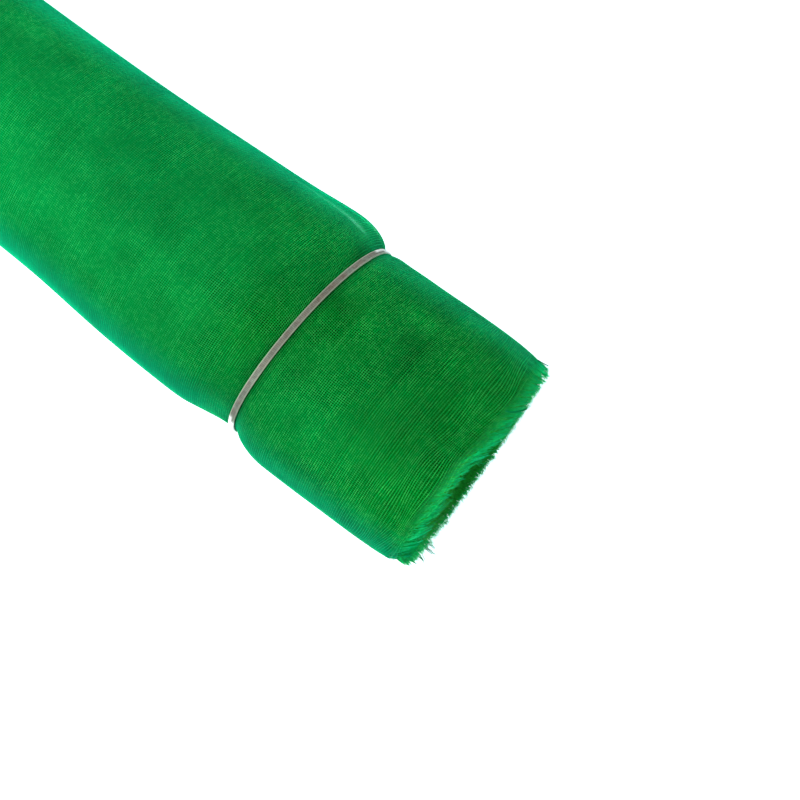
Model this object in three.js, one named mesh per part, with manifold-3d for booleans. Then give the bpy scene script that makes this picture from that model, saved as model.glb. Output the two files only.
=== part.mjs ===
// A coreless roll of woven green plastic mosquito mesh, pinched by one flat elastic band, one end frayed.
// Millimetres. The roll lies along X with its frayed end at +X, +Y is the far side and +Z is up.
// The origin is under the middle of the roll, on the surface that it lies on.

import * as THREE from 'three';
import { mergeVertices } from 'three/addons/utils/BufferGeometryUtils.js';
import Module from 'manifold-3d';

const wasm = await Module();
wasm.setup();

// Overall sizes of the roll
const ROLL_LENGTH = 1000;
const FRAY_REACH = 14.4;
const BAND_FROM_TIPS = 137;
const CLEARANCE = 0.3;
const MERGE_DISTANCE = 1e-4;

// The oval section: height of its widest line, height of its eye, and half its flat spot
const WAIST_SHARE = 0.46;
const EYE_SHARE = 0.48;
const FLAT_HALF = 22;

// The outer free edge of the cloth, low on the far side, stands proud except where the band presses it
const EDGE_ANGLE = 340;
const EDGE_GAP_ANGLE = 0.6;
const EDGE_STEP = 1.8;
const EDGE_PRESSED = 6;
const EDGE_LOOSE = 40;

// The ends: a shallow dish with the turns standing in a spiral
const END_TURNS = 4;
const ROWS_PER_TURN = 4;
const END_RELIEF = 1.6;
const END_DISH = 2;
const RIM_FADE = 0.1;
const EYE_FADE = 0.2;

// Points round a section and the longest step between sections
const TOP_STEPS = 26;
const NEAR_STEPS = 11;
const FAR_STEPS = 8;
const FLAP_STEPS = 3;
const RING_STEP = 60;

// The band
const BAND_WIDTH = 4.4;
const BAND_THICKNESS = 1.2;
const SEAT_HALF = 2.6;

// The fray: a spiral strip along the edge of the cloth, once round the rim and then in towards the eye,
// with loose threads rooted in it
const STRIP_TURNS = 3;
const RIM_TURNS = 1;
const STRIP_RIM = 0.975;
const STRIP_INSET = 0.925;
const STRIP_INNER = 0.3;
const STRIP_WIDTH = 1.7;
const STRIP_DEPTH = 2;
const STRANDS = 260;
const STRAND_RADIUS = 0.75;
const STRAND_ROOT = 1.2;
const STRAND_SHORTEST = 3.6;
const STRAND_LONGEST = 5.6;
const RIM_FADE_TURNS = 0.3;
const STRAND_FLARE = 0.22;
const STRAND_SWAY = 0.16;
const FLOOR_MARGIN = 8;
const LINE_DIVISIONS = 2000;
const UPRIGHT = new THREE.Vector3(0, 1, 0);

const BAND_X = ROLL_LENGTH / 2 - BAND_FROM_TIPS;
const PLAIN_END = -ROLL_LENGTH / 2 - BAND_X;
const FRAY_END = BAND_FROM_TIPS - FRAY_REACH;

// One row for each section: distance from the band, lean of the section, its two sides, top and underside
const SECTION_COLUMNS = ['along', 'lean', 'far', 'near', 'top', 'low'];
const SECTIONS = [
  [PLAIN_END, 0.0, 71.5, -74.0, 116.5, 0],
  [-700, 0.0, 70.5, -73.0, 118.5, 0],
  [-500, 0.0, 71.8, -74.6, 118.0, 0],
  [-330, 0.01, 70.2, -72.0, 119.5, 0],
  [-230, 0.02, 70.2, -71.6, 119.0, 0],
  [-170, 0.03, 71.2, -72.8, 119.5, 0],
  [-105, 0.04, 74.3, -77.4, 120.0, 0],
  [-60, 0.055, 77.0, -78.9, 119.0, 0],
  [-38, 0.06, 79.3, -78.7, 118.0, 0],
  [-22, 0.063, 80.7, -76.5, 116.6, 0],
  [-12, 0.063, 79.0, -75.0, 115.3, 0.6],
  [-6, 0.063, 75.8, -74.5, 114.2, 1.4],
  [-SEAT_HALF, 0.063, 72.1, -74.4, 113.6, 1.9],
  [SEAT_HALF, 0.063, 72.1, -74.4, 113.6, 1.9],
  [9, 0.06, 73.3, -78.2, 115.2, 0.8],
  [20, 0.05, 73.0, -81.6, 116.3, 0],
  [38, 0.04, 72.5, -82.1, 116.8, 0],
  [70, 0.02, 73.5, -81.8, 116.5, 0],
  [105, -0.01, 73.8, -81.0, 115.5, 0],
  [FRAY_END, -0.02, 72.6, -79.4, 114.5, 0],
];

// Soft hollows in the wound cloth: distance from the band, angle round the section, depth and reach
const HOLLOW_COLUMNS = ['along', 'angle', 'depth', 'reach', 'spread'];
const HOLLOWS = [
  [55, 62, 2.2, 34, 26],
  [-30, 95, 1.4, 24, 40],
  [-150, 128, 2.0, 60, 24],
  [-330, 58, 2.4, 90, 26],
  [-560, 140, 2.2, 100, 28],
  [-740, 48, 2.4, 80, 28],
];

// Where the threads of the rim are longer: angle round the section, its spread and the extra length
const LONG_COLUMNS = ['angle', 'spread', 'extra'];
const LONG_THREADS = [
  [78, 34, 6.8],
  [145, 26, 3.0],
  [235, 28, 1.4],
];

const MESH_GREEN = new THREE.MeshStandardMaterial({ color: 0x0f8a3a, roughness: 0.55, metalness: 0 });
const FRAY_GREEN = new THREE.MeshStandardMaterial({ color: 0x12a050, roughness: 0.5, metalness: 0 });
const BAND_GREY = new THREE.MeshStandardMaterial({ color: 0xa59e94, roughness: 0.75, metalness: 0 });

const named = (columns, row) => Object.fromEntries(columns.map((name, i) => [name, row[i]]));
const radians = THREE.MathUtils.degToRad;
const smooth = THREE.MathUtils.smoothstep;
const lerp = THREE.MathUtils.lerp;

const sectionCurve = new THREE.CubicInterpolant(
  new Float64Array(SECTIONS.map((row) => row[0])),
  new Float64Array(SECTIONS.flat()),
  SECTION_COLUMNS.length,
  new Float64Array(SECTION_COLUMNS.length),
);

function sectionAt(along) {
  return named(SECTION_COLUMNS, Array.from(sectionCurve.evaluate(along)));
}

// The points round a section, counted from the free edge over the top to just below the same edge.
// 'flat' says which end of the flat spot a point of the underside belongs to.
function sectionSpots() {
  const spots = [];
  const addSpot = (angle, flat) => {
    spots.push({ angle, cos: Math.cos(radians(angle)), sin: Math.sin(radians(angle)), flat });
  };
  const sweep = (from, to, steps, flat) => {
    for (let i = 0; i < steps; i += 1) addSpot(lerp(from, to, i / steps), flat);
  };
  sweep(EDGE_ANGLE - 360, 0, FLAP_STEPS, 1);
  sweep(0, 180, TOP_STEPS, 0);
  sweep(180, 270, NEAR_STEPS, -1);
  addSpot(270, -1);
  addSpot(270, 0);
  sweep(270, EDGE_ANGLE - EDGE_GAP_ANGLE, FAR_STEPS, 1);
  addSpot(EDGE_ANGLE - EDGE_GAP_ANGLE, 1);
  return spots.map((spot, i) => ({ ...spot, turn: i / spots.length }));
}

const SPOTS = sectionSpots();

function hollowDepth(along, angle) {
  return HOLLOWS.map((row) => named(HOLLOW_COLUMNS, row)).reduce((sum, hollow) => {
    const away = Math.hypot((along - hollow.along) / hollow.reach, (angle - hollow.angle) / hollow.spread);
    return sum + hollow.depth * Math.exp(-(away ** 2));
  }, 0);
}

// A point of the wound surface, or of a smaller turn at 'share' of the way out from the eye.
function woundPoint(section, spot, share = 1, outward = 0) {
  const loose = smooth(Math.abs(section.along), EDGE_PRESSED, EDGE_LOOSE);
  const lift = EDGE_STEP * (1 - spot.turn) * loose - hollowDepth(section.along, spot.angle);
  const mid = (section.far + section.near) / 2;
  const waist = section.low + WAIST_SHARE * (section.top - section.low);
  const under = spot.sin < 0;
  const flat = under ? FLAT_HALF : 0;
  const reach = (section.far - section.near) / 2 + lift - flat;
  const rise = under ? waist - section.low : section.top + lift - waist;
  const normal = new THREE.Vector2(spot.cos / reach, spot.sin / rise).normalize();
  const outY = flat * spot.flat + reach * spot.cos + outward * normal.x;
  const outZ = waist + rise * spot.sin + outward * normal.y;
  const eye = section.low + EYE_SHARE * (section.top - section.low);
  const y = mid + share * outY;
  return new THREE.Vector3(BAND_X + section.along + section.lean * y, y, lerp(eye, outZ, share));
}

// How far the face of an end lies back from its rim: the dish, and the spiral of the turns.
function endHollow(share, turn) {
  const wave = 0.5 - 0.5 * Math.cos(2 * Math.PI * (END_TURNS * (1 - share) - turn));
  const fade = smooth(1 - share, 0, RIM_FADE) * smooth(share, 0, EYE_FADE);
  return END_RELIEF * wave * fade + END_DISH * (1 - share) ** 2;
}

// A closed body from a geometry: shared points merged, empty triangles dropped.
function closedBody(geometry) {
  geometry.deleteAttribute('normal');
  geometry.deleteAttribute('uv');
  const merged = mergeVertices(geometry, MERGE_DISTANCE);
  const index = merged.index.array;
  const kept = [];
  for (let i = 0; i < index.length; i += 3) {
    const [a, b, c] = index.slice(i, i + 3);
    if (a !== b && b !== c && c !== a) kept.push(a, b, c);
  }
  merged.setIndex(kept);
  return merged;
}

function solidOf(geometry) {
  const closed = closedBody(geometry);
  const vertProperties = Float32Array.from(closed.attributes.position.array);
  const triVerts = Uint32Array.from(closed.index.array);
  return new wasm.Manifold(new wasm.Mesh({ numProp: 3, vertProperties, triVerts }));
}

function geometryOf(solid) {
  const { vertProperties, triVerts } = solid.getMesh();
  const geometry = new THREE.BufferGeometry();
  geometry.setAttribute('position', new THREE.BufferAttribute(vertProperties, 3));
  geometry.setIndex(new THREE.BufferAttribute(triVerts, 1));
  return geometry;
}

// Turns a profile round the section: each row becomes a ring whose points are placed by 'place(row, spot)'.
function turnedBody(rows, place) {
  const geometry = new THREE.LatheGeometry(rows.map((row, i) => new THREE.Vector2(1, i)), SPOTS.length);
  const position = geometry.attributes.position;
  for (let v = 0; v < position.count; v += 1) {
    const spot = SPOTS[Math.floor(v / rows.length) % SPOTS.length];
    const point = place(rows[v % rows.length], spot);
    position.setXYZ(v, point.x, point.y, point.z);
  }
  return closedBody(geometry);
}

function meshRoll() {
  const capRows = END_TURNS * ROWS_PER_TURN;
  const plainCap = [];
  const frayCap = [];
  for (let i = 0; i < capRows; i += 1) {
    plainCap.push({ along: PLAIN_END, share: i / capRows, facing: -1 });
    frayCap.unshift({ along: FRAY_END, share: i / capRows, facing: 1 });
  }
  const rings = [];
  SECTIONS.forEach(([along], i) => {
    const next = SECTIONS[i + 1]?.[0] ?? along;
    const steps = Math.max(1, Math.ceil((next - along) / RING_STEP));
    for (let k = 0; k < steps; k += 1) {
      rings.push({ along: lerp(along, next, k / steps), share: 1, facing: 0 });
    }
  });
  return turnedBody([...plainCap, ...rings, ...frayCap], ({ along, share, facing }, spot) => {
    const point = woundPoint(sectionAt(along), spot, share);
    point.x -= facing * endHollow(share, spot.turn);
    return point;
  });
}

function elasticBand() {
  const seat = sectionAt(SEAT_HALF);
  const inner = CLEARANCE;
  const outer = CLEARANCE + BAND_THICKNESS;
  const half = BAND_WIDTH / 2;
  const corners = [[-half, outer], [half, outer], [half, inner], [-half, inner], [-half, outer]];
  return turnedBody(corners, ([along, outward], spot) => woundPoint({ ...seat, along }, spot, 1, outward));
}

const frayEnd = sectionAt(FRAY_END);

function stripShare(turns) {
  if (turns < RIM_TURNS) return lerp(STRIP_RIM, STRIP_INSET, turns / RIM_TURNS);
  return lerp(STRIP_INSET, STRIP_INNER, (turns - RIM_TURNS) / (STRIP_TURNS - RIM_TURNS));
}

// A point of the frayed edge, 'step' points along the spiral strip and 'outward' from its middle line.
function stripPoint(step, outward = 0) {
  const share = stripShare(step / SPOTS.length);
  const spot = { ...SPOTS[step % SPOTS.length], turn: 1 };
  return woundPoint(frayEnd, spot, share, outward / share);
}

function frayStrip() {
  const outer = [];
  const inner = [];
  for (let step = 0; step <= STRIP_TURNS * SPOTS.length; step += 1) {
    const out = stripPoint(step, STRIP_WIDTH / 2);
    const back = stripPoint(step, -STRIP_WIDTH / 2);
    outer.push(new THREE.Vector2(out.y, out.z));
    inner.unshift(new THREE.Vector2(back.y, back.z));
  }
  const shape = new THREE.Shape([...outer, ...inner]);
  const geometry = new THREE.ExtrudeGeometry(shape, { depth: STRIP_DEPTH, bevelEnabled: false });
  const position = geometry.attributes.position;
  for (let v = 0; v < position.count; v += 1) {
    const [y, z, depth] = [position.getX(v), position.getY(v), position.getZ(v)];
    position.setXYZ(v, BAND_X + FRAY_END + frayEnd.lean * y + CLEARANCE + depth, y, z);
  }
  return geometry;
}

function stripLine() {
  const points = [];
  for (let step = 0; step <= STRIP_TURNS * SPOTS.length; step += 1) points.push(stripPoint(step));
  const line = new THREE.CatmullRomCurve3(points);
  line.arcLengthDivisions = LINE_DIVISIONS;
  return line;
}

function longExtra(angle) {
  return LONG_THREADS.map((row) => named(LONG_COLUMNS, row)).reduce((sum, long) => {
    return sum + long.extra * Math.exp(-(((angle - long.angle) / long.spread) ** 2));
  }, 0);
}

// One loose thread: a thin three-sided spike, rooted in the strip, leaning a little out and to one side.
function frayStrand(line, lengthShare) {
  const random = (low, high) => lerp(low, high, THREE.MathUtils.seededRandom());
  const root = line.getPointAt(lengthShare);
  const tangent = line.getTangentAt(lengthShare);
  const eye = woundPoint(frayEnd, SPOTS[0], 0);
  const angle = THREE.MathUtils.radToDeg(Math.atan2(root.z - eye.z, root.y - eye.y));
  const turns = STRIP_TURNS * line.getUtoTmapping(lengthShare);
  const onRim = 1 - smooth(turns, RIM_TURNS, RIM_TURNS + RIM_FADE_TURNS);
  const extra = onRim * longExtra(THREE.MathUtils.euclideanModulo(angle, 360));
  const length = random(STRAND_SHORTEST, STRAND_LONGEST) + extra;
  const flare = random(0, STRAND_FLARE);
  const direction = new THREE.Vector3(
    1,
    flare * tangent.z + random(-STRAND_SWAY, STRAND_SWAY),
    -flare * tangent.y + random(-STRAND_SWAY, STRAND_SWAY),
  );
  if (root.z < FLOOR_MARGIN) direction.z = Math.max(0, direction.z);
  const geometry = new THREE.ConeGeometry(STRAND_RADIUS, length + STRAND_ROOT, 3);
  geometry.translate(0, (length + STRAND_ROOT) / 2, 0);
  geometry.applyQuaternion(new THREE.Quaternion().setFromUnitVectors(UPRIGHT, direction.normalize()));
  geometry.translate(root.x + CLEARANCE + STRIP_DEPTH - STRAND_ROOT, root.y, root.z);
  return geometry;
}

function endFray() {
  THREE.MathUtils.seededRandom(STRANDS);
  const line = stripLine();
  let fray = solidOf(frayStrip());
  for (let number = 0; number < STRANDS; number += 1) {
    fray = fray.add(solidOf(frayStrand(line, (number + 0.5) / STRANDS)));
  }
  return geometryOf(fray);
}

function piece(name, geometry, material) {
  geometry.computeVertexNormals();
  const mesh = new THREE.Mesh(geometry, material);
  mesh.name = name;
  return mesh;
}

const roll = new THREE.Group();
roll.add(piece('mesh_roll', meshRoll(), MESH_GREEN));
roll.add(piece('band', elasticBand(), BAND_GREY));
roll.add(piece('end_fray', endFray(), FRAY_GREEN));

export default roll;
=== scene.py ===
"""A coreless roll of woven green plastic mosquito mesh, pinched by one flat elastic band, one end frayed.

Lengths in the tables and functions are millimetres, and meshes are made in metres. The roll lies along X
with its frayed end at +X, +Y is its far side and +Z is up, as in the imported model. A place on it is given
by the distance along it from the band and the angle round its section, in degrees: 0 is the far side, 90 is
the top and 180 is the near side.
"""
import math

import bpy
import numpy as np
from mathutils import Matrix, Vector


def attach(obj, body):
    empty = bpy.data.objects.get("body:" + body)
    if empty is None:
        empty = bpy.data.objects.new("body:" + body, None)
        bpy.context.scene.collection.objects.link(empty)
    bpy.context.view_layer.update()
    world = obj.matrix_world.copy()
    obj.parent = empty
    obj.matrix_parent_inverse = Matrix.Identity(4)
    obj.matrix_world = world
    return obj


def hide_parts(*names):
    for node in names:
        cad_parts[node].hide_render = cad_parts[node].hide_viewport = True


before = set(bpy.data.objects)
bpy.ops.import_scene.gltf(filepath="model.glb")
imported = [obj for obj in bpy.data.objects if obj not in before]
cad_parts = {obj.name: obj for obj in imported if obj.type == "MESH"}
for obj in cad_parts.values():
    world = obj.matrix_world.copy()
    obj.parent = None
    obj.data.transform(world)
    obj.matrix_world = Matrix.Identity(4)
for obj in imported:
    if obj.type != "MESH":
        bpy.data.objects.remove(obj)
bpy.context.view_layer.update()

MM = 0.001
SEED = 18
ROUNDING = 1e-9

# The wound form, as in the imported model
ROLL_LENGTH = 1000.0
FRAY_REACH = 14.4
BAND_FROM_TIPS = 137.0
WAIST_SHARE = 0.46
EYE_SHARE = 0.48
FLAT_HALF = 22.0
SEAT_HALF = 2.6
END_DISH = 2.0
BAND_X = ROLL_LENGTH / 2 - BAND_FROM_TIPS
PLAIN_END = -ROLL_LENGTH / 2 - BAND_X
FRAY_END = BAND_FROM_TIPS - FRAY_REACH

# The free edge of the outermost turn, low on the far side: its angle and the gap behind it, the height of
# its step, and how far from the band it is pressed flat and is loose
EDGE_ANGLE = 340.0
EDGE_GAP_ANGLE = 0.6
EDGE_STEP = 1.8
EDGE_PRESSED = 6.0
EDGE_LOOSE = 40.0

# The plain section by which shares of the way round are found: the angle of its flat spot and the points on
# it, half width, rise over the waist and fall under it
UNDERSIDE = 270
FLAT_POINTS = 45
PLAIN_HALF = 74.0
PLAIN_RISE = 64.0
PLAIN_FALL = 54.0

# Where the way round is measured, and at how many points
PERIMETER_AT = -330.0
PERIMETER_POINTS = 721

# One row for each section: distance from the band, lean, far side of the outermost turn and of the turns
# inside it, near side, top and underside
SECTIONS = np.array([
    (PLAIN_END, 0.0, 71.5, 71.5, -74.0, 116.5, 0.0),
    (-700, 0.0, 70.5, 70.5, -73.0, 118.5, 0.0),
    (-500, 0.0, 71.8, 71.8, -74.6, 118.0, 0.0),
    (-330, 0.01, 70.2, 70.2, -72.0, 119.5, 0.0),
    (-230, 0.02, 70.2, 70.2, -71.6, 119.0, 0.0),
    (-170, 0.03, 71.2, 71.2, -72.8, 119.5, 0.0),
    (-105, 0.04, 74.3, 74.0, -77.4, 120.0, 0.0),
    (-60, 0.055, 77.0, 75.2, -78.9, 119.0, 0.0),
    (-38, 0.06, 79.3, 75.8, -78.7, 118.0, 0.0),
    (-22, 0.063, 80.7, 75.2, -76.5, 116.6, 0.0),
    (-12, 0.063, 79.0, 73.4, -75.0, 115.3, 0.6),
    (-6, 0.063, 75.8, 72.2, -74.5, 114.2, 1.4),
    (-SEAT_HALF, 0.063, 72.1, 71.6, -74.4, 113.6, 1.9),
    (SEAT_HALF, 0.063, 72.1, 71.6, -74.4, 113.6, 1.9),
    (9, 0.06, 73.3, 73.0, -78.2, 115.2, 0.8),
    (20, 0.05, 73.0, 73.0, -81.6, 116.3, 0.0),
    (38, 0.04, 72.5, 72.5, -82.1, 116.8, 0.0),
    (70, 0.02, 73.5, 73.5, -81.8, 116.5, 0.0),
    (105, -0.01, 73.8, 73.8, -81.0, 115.5, 0.0),
    (FRAY_END, -0.02, 72.6, 72.6, -79.4, 114.5, 0.0),
])

# In the next three tables: distance from the band, angle, amount, reach along the roll and spread round it

# Soft hollows in the wound cloth
HOLLOWS = (
    (55, 62, 2.2, 34, 26),
    (-30, 95, 1.4, 24, 40),
    (-150, 128, 2.0, 60, 24),
    (-330, 58, 2.4, 90, 26),
    (-560, 140, 2.2, 100, 28),
    (-740, 48, 2.4, 80, 28),
)

# Places where shade is painted into the cloth, darker, as beside the band, or light is painted in, paler
# where the amount is below 0
PAINTED_SHADES = (
    (0, 90, 0.35, 6, 400),
    (-20, 108, 0.15, 28, 40),
    (20, 100, 0.09, 20, 60),
    (-60, 138, 0.13, 60, 14),
    (-130, 89, 0.16, 75, 24),
    (-180, 100, 0.06, 60, 30),
    (-130, 163, 0.16, 120, 20),
    (60, 172, 0.10, 80, 16),
    (64, 75, 0.22, 14, 12),
    (45, 133, 0.16, 38, 18),
    (98, 101, 0.20, 40, 19),
    (95, 130, -0.20, 55, 20),
    (-113, 101, 0.12, 40, 10),
    (-105, 66, 0.12, 35, 10),
    (27, 124, -0.16, 14, 12),
    (27, 82, -0.13, 14, 14),
    (-10, 146, 0.12, 22, 13),
    (-25, 120, -0.08, 18, 10),
    (-155, 146, 0.11, 40, 18),
    (72, 94, 0.06, 14, 14),
)

# Places where the outer turns lie looser on each other, or less so; looseness is painted as deeper shade in
# the gaps
SLACK_PLACES = (
    (-20, 108, 0.45, 26, 30),
    (15, 80, 0.30, 22, 22),
    (45, 133, -0.35, 38, 18),
    (-141, 106, 0.15, 40, 25),
    (-49, 63, 0.20, 40, 15),
)

# From where to where along the roll they come to lie loose
SLACK_SPAN = (-170.0, 120.0)

# The frayed end: angle, where the outermost turn's cloth stops, where its threads stop and how far their
# tips lean outward
END_ROWS = np.array([
    (-20, 122.0, 131.0, 0.3),
    (0, 122.5, 130.8, 0.0),
    (12, 122.5, 128.0, -0.8),
    (20, 123.0, 129.5, -0.5),
    (30, 125.5, 132.5, 0.0),
    (45, 128.0, 134.6, 0.3),
    (60, 129.5, 136.4, 0.3),
    (75, 129.5, 137.8, 0.3),
    (90, 128.5, 138.0, 0.3),
    (97, 127.0, 137.0, 0.3),
    (105, 125.6, 133.8, 0.3),
    (120, 125.0, 132.0, 0.2),
    (135, 123.6, 131.8, -0.5),
    (150, 123.0, 133.0, -2.0),
    (165, 121.0, 132.5, -5.0),
    (180, 118.5, 130.5, -8.0),
    (198, 118.5, 130.0, -7.0),
    (210, 121.0, 131.0, -1.0),
    (240, 123.5, 132.2, 0.3),
    (270, 123.5, 130.6, 0.3),
    (300, 122.5, 129.0, 0.3),
    (340, 122.0, 131.0, 0.3),
])

# Low on the far side the outermost turn ends short: how far, and the angle and spread
NOTCH_DEPTH = 8.0
NOTCH = (0.0, 20.0)

# How the cut edge of each turn waves: waves round the roll, start, and drift from turn to turn
EDGE_WAVES = ((1, 0.3, 0.21), (2, 1.9, -0.47), (3, 4.0, 0.83), (5, 2.2, -1.31))
OUTER_WAVE = 0.8
UNDER_WAVE = 0.5
INNER_WAVE = 0.6
PLAIN_WAVE = 0.3
PLAIN_WAVE_TURN = 40

# Where the looks before the band give way to those past it
PAST_SPAN = (-10.0, 20.0)

# Painted light on the sides, a paler teal for light from the floor through the threads: the middle of the
# top, the angles from it at which it begins, is full and fades again, and the share that fades, and over how
# many degrees
SIDE_MIDDLE = 98.0
SIDE_ANGLES = (44.0, 76.0)
SIDE_LOW = 90.0
SIDE_FADE = 0.7
SIDE_FADE_OVER = 40.0

# Shares by which that painted side light is weaker past the band, far and near, and close to it, and where
# that is
SIDE_PAST = (0.28, 0.14)
SIDE_BY_BAND = 0.35
BY_BAND = (-10.0, 16.0)

# Painted light at the far rim, which light passes: angles, strength, and the share lost past the band
FAR_ANGLES = (46.0, 26.0)
FAR_PAINTED_LIGHT = 0.55
FAR_PAST = 0.12

# Patches of painted sheen, in which the threads catch more or less light: size, strength and its limit,
# millimetres to a degree round the roll, degrees covered, and a seed for each set of threads
SHEEN_PATCH = 13.0
SHEEN_SIZE = 0.17
SHEEN_LIMIT = 2.0
SHEEN_MM_PER_DEGREE = 1.2
SHEEN_DEGREES = 400
ROUND_SHEEN_SEED = 3
ALONG_SHEEN_SEED = 4

# Weave: 18 threads to the inch each way. A depth is how far a thread or turn lies inside the outer form
PITCH = 1.41
THREAD_CORNERS = 3
ROUND_RADIUS = 0.14
ALONG_RADIUS = 0.13
ROUND_DEPTH = 0.16
ALONG_DEPTH = 0.30
UNDER_DEPTH = 0.85
ROUND_BRIGHT = 0.10
ALONG_DULL = 0.11

# Threads round the roll: how unevenly they lie and shine, and those that have frayed out in part
ROUND_RANDOM = 0.06
ROUND_DRIFT = (2, 0.12)
ROUND_SHINE = 0.10
STRAY_TURNS = 3
CHECKED_LENGTH = 14.0
CHECKED_SPOTS = np.linspace(0, 0.5, 400)
FRAYED_LENGTH = 4.0
FRAYED_FROM = 0.06
FRAYED_START = 0.2
FRAYED_ENDS = (0.1, 0.5)

# How they stray along the roll, in all and close to the cut: size, waves round, run along and start
WANDER = ((0.32, 2, 61, 0.0), (0.22, 3, -37, 1.7))
CUT_WANDER = ((1.3, 5, 6, 0.0), (0.8, 8, -4, 0.6))
CUT_WANDER_LENGTH = 45.0
FAN_LENGTH = 60.0

# How lengthwise threads stray round the roll: share of the way round, run along and turns round
ALONG_STRAY = ((0.0007, 47, 40), (0.0003, 19, 0))
CUT_STRAY = (3, 0.0010)
CUT_STRAY_LENGTH = 30.0

# The ledge of the outermost turn where it stands off beside the band: angles over which the turn under it
# rises, how far it rises, the opening at which the ledge is full, where it stops and over how far it fades,
# and the angles at which that turn has closer points
LEDGE_RISE = (24.0, 15.0)
LEDGE_LIFT = 0.9
LEDGE_OPEN = 5.0
LEDGE_STOP = -12.0
LEDGE_FADE = 12.0
LEDGE_FINE = np.arange(10, 30, 0.8)

# Its looks, all painted light and shade: the strength, angle and width of the painted highlight of its pale
# line, the painted shade under it and its angles, and the painted shade and light of the cloth on either
# side
LEDGE_PAINTED_HIGHLIGHT = 1.1
LEDGE_LINE = (22.0, 1.2)
LEDGE_PAINTED_SHADE = 0.28
LEDGE_STRIP = (21.0, 17.0)
INSIDE_PAINTED_SHADE = 0.20
LEDGE_INSIDE = (37.0, 5.0)
OUTSIDE_PAINTED_LIGHT = 0.16
LEDGE_OUTSIDE = (26.0, 4.0)

# The turn under the outermost one: its points round, how far its edge lies inside, how much deeper it lies
# under the free edge and over what share of the way round, and the margin of its map
UNDER_POINTS = 161
UNDER_INSIDE = 2.0
FLAP_LIFT = 1.3
FLAP_SHARE = 0.06
MAP_MARGIN = 2.0

# The turns inside: their number, the size of the eye as a share, depth, points to a turn, and how many of
# them show at the sides. They neither stand off beside the band nor have a free edge
INNER_TURNS = 116
EYE_SIZE = 0.06
INNER_DEPTH = 1.7
TURN_POINTS = 40.3
OUTERMOST_TURNS = 1.5
NO_EDGE = dict(lifted=0.0, ledge=0.0)

# Their edges at the plain end, painted lighter there as if lit, and at the frayed end, where they stand out
# further low down
CUT_PAINTED_LIGHT = 3.2
CUT_FLARE = 0.8
CUT_LENGTH = 5.0
PLAIN_INSET = 0.5
INNER_OUT = 0.4
LOW_OUT = 4.3
LOW_OUT_SINE = 0.35

# The margins of their map, and where they have points along the roll
INNER_MAP_BEFORE = 4.0
INNER_MAP_EXTRA = 12.0
INNER_STATIONS = np.array([
    PLAIN_END, PLAIN_END + CUT_LENGTH, -780, -700, -600, -500, -330, -230, -170, -105, -60, -22,
    -SEAT_HALF, SEAT_HALF, 20, 70, FRAY_END - 10, FRAY_END,
])

# How frayed threads of a kind lie: threads to a tuft, and random lean outward and sideways, droop, and pull
# to the middle of the tuft
ALONG_FRAY = dict(tuft=2.4, flare=0.5, sway=0.6, droop=1.2, pull=0.6)
OUTER_FRAY = dict(tuft=4, flare=0.6, sway=0.7, droop=1.4, pull=0.7)
INNER_FRAY = dict(tuft=4, flare=1.4, sway=1.4, droop=0.8, pull=1.5)

# How loose threads bend past the cloth, and how they are combed to the far side on top
BEND_REACH = 9.9
BEND_POWER = 1.6
SWEEP = 11.0
SWEEP_RANDOM = 0.4
SWEEP_LIMITS = (0.2, 1.8)
SWEEP_FAR = (30, 65)
SWEEP_NEAR = (215, 175)
FLOOR_GAP = 0.2

# The fringe of the outermost turn: how uneven its tips and tones are, the painted light that makes it
# paler, and its share of the painted side light
TAIL_POINTS = 8
TIP_LEAST = 2.0
ALONG_TIP_TUFT = 0.7
ALONG_TIP = (-0.6, 0.8)
FRINGE_PAINTED_LIGHT = 1.3
FRINGE_RANDOM = 0.25
FRINGE_LIMITS = (-0.5, 0.5)
FRINGE_SIDE = 0.8
FRINGE_LENGTH = 7.0

# The fringe of the turns just under it, with painted shade at the roots of its threads, painted light at
# their tips, and painted side light
OUTER_TURNS = 4
OUTER_SPACING = 0.8
OUTER_PLACES = (0.2, 0.8)
OUTER_INSIDE = 3.0
OUTER_SHORT = 0.4
OUTER_TIP_TUFT = 0.9
OUTER_TIP_RANDOM = 0.7
OUTER_STEP = 0.35
OUTER_TONE = 0.95
OUTER_RANDOM = 0.16
OUTER_TONE_LIMITS = (0.5, 1.4)
OUTER_PAINTED_SHADING = np.array([0.45, 0.55, 0.75, 1.0, 1.2, 1.3])
OUTER_SIDES = np.linspace(0.35, 1.0, 6)
OUTER_RADII = 0.12 * np.array([1, 1, 1, 1, 0.9, 0.6])

# The fringe of the turns further inside: shorter ends, with painted light that makes them paler low at the
# rim, and painted shade at their roots
INNER_FIRST = 3
INNER_SPACING = 2.1
INNER_FEWEST = 6
INNER_ROOT = 0.3
INNER_LENGTH = 3.6
INNER_LONG = 0.8
INNER_LONG_RANDOM = 0.6
INNER_LENGTHS = (1.0, 6.0)
INNER_STEPS = np.array([0, 0.55, 1.0])
INNER_PAINTED_SHADING = np.array([0.5, 0.8, 1.1])
INNER_RADII = np.array([0.16, 0.15, 0.06])
INNER_RANDOM = 0.25
INNER_TONE_LIMITS = (0.3, 2.2)
LOW_SINES = (0.2, -0.5)
LOW_PAINTED_LIGHT = 0.5
LOW_SIDE = 0.15
RIM_SHARES = (0.72, 0.95)
RIM_SIDE = 0.8

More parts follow.
